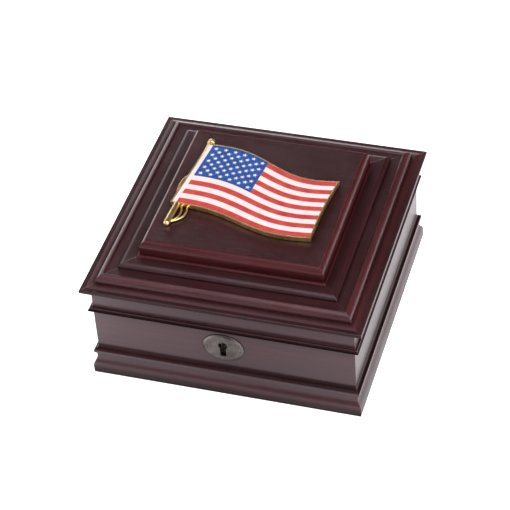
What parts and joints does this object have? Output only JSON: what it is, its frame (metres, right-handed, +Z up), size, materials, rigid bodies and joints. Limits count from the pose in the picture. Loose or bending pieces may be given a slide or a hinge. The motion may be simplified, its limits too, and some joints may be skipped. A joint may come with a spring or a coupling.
{
  "type": "keepsake box",
  "caption": "Square dark mahogany keepsake box with a stepped moulded hinged lid, an enamelled flag medallion on the lid and an oval keyhole plate on the front.",
  "frame": {"origin": "on the ground plane under the centre of the box's square footprint", "axes": "+Z up; the front with the keyhole faces -Y; +X is to the right seen from the front"},
  "size_m": [0.19, 0.19, 0.1016],
  "materials": {
    "mahogany": "satin lacquer over dark mahogany stain",
    "backing_board": "stained plywood",
    "velvet": "short pile black velvet",
    "felt": "pressed felt",
    "aged_pewter": "aged pewter plate",
    "lock_steel": "plain stamped steel",
    "hinge_brass": "satin brass",
    "screw_brass": "turned brass",
    "gold_plate": "polished gold plate",
    "foam_tape": "closed cell foam",
    "enamel_red": "gloss soft enamel",
    "enamel_white": "gloss soft enamel",
    "enamel_blue": "gloss soft enamel"
  },
  "bodies": {
    "box": {"base_rail_back": "mahogany", "base_rail_front": "mahogany", "base_rail_left": "mahogany", "base_rail_right": "mahogany", "bottom_panel": "backing_board", "box_wall_back": "mahogany", "box_wall_front": "mahogany", "box_wall_left": "mahogany", "box_wall_right": "mahogany", "escutcheon": "aged_pewter", "escutcheon_pins": "aged_pewter", "felt_feet": "felt", "floor_pad": "velvet", "hinge_left_box_leaf": "hinge_brass", "hinge_left_pin": "hinge_brass", "hinge_right_box_leaf": "hinge_brass", "hinge_right_pin": "hinge_brass", "hinge_screws_box": "screw_brass", "lock_back_plate": "lock_steel", "lock_case": "lock_steel", "lock_drill_pin": "lock_steel", "lock_screws": "screw_brass", "lock_spring": "lock_steel", "wall_liner_back": "velvet", "wall_liner_front": "velvet", "wall_liner_left": "velvet", "wall_liner_right": "velvet"},
    "lid": {"enamel_blue": "enamel_blue", "enamel_red": "enamel_red", "enamel_stars": "enamel_white", "enamel_white": "enamel_white", "hinge_left_lid_leaf": "hinge_brass", "hinge_right_lid_leaf": "hinge_brass", "hinge_screws_lid": "screw_brass", "lid_band_back": "mahogany", "lid_band_front": "mahogany", "lid_band_left": "mahogany", "lid_band_right": "mahogany", "lid_board": "backing_board", "lid_frame_back": "mahogany", "lid_frame_front": "mahogany", "lid_frame_left": "mahogany", "lid_frame_right": "mahogany", "lid_pad": "velvet", "lid_panel": "mahogany", "lid_step_back": "mahogany", "lid_step_front": "mahogany", "lid_step_left": "mahogany", "lid_step_right": "mahogany", "link_plate": "lock_steel", "link_screws": "screw_brass", "medallion_casting": "gold_plate", "medallion_pads": "foam_tape"},
    "bolt": {"lock_bolt": "lock_steel"}
  },
  "joints": [
    {"name": "lid_hinge", "type": "hinge", "parent": "box", "child": "lid", "pos_m": [0, 0.0914, 0.0556], "axis": [-1, 0, 0], "range_deg": [0, 100]},
    {"name": "bolt_slide", "type": "slide", "parent": "box", "child": "bolt", "axis": [1, 0, 0], "range_m": [0, 0.004]}
  ]
}
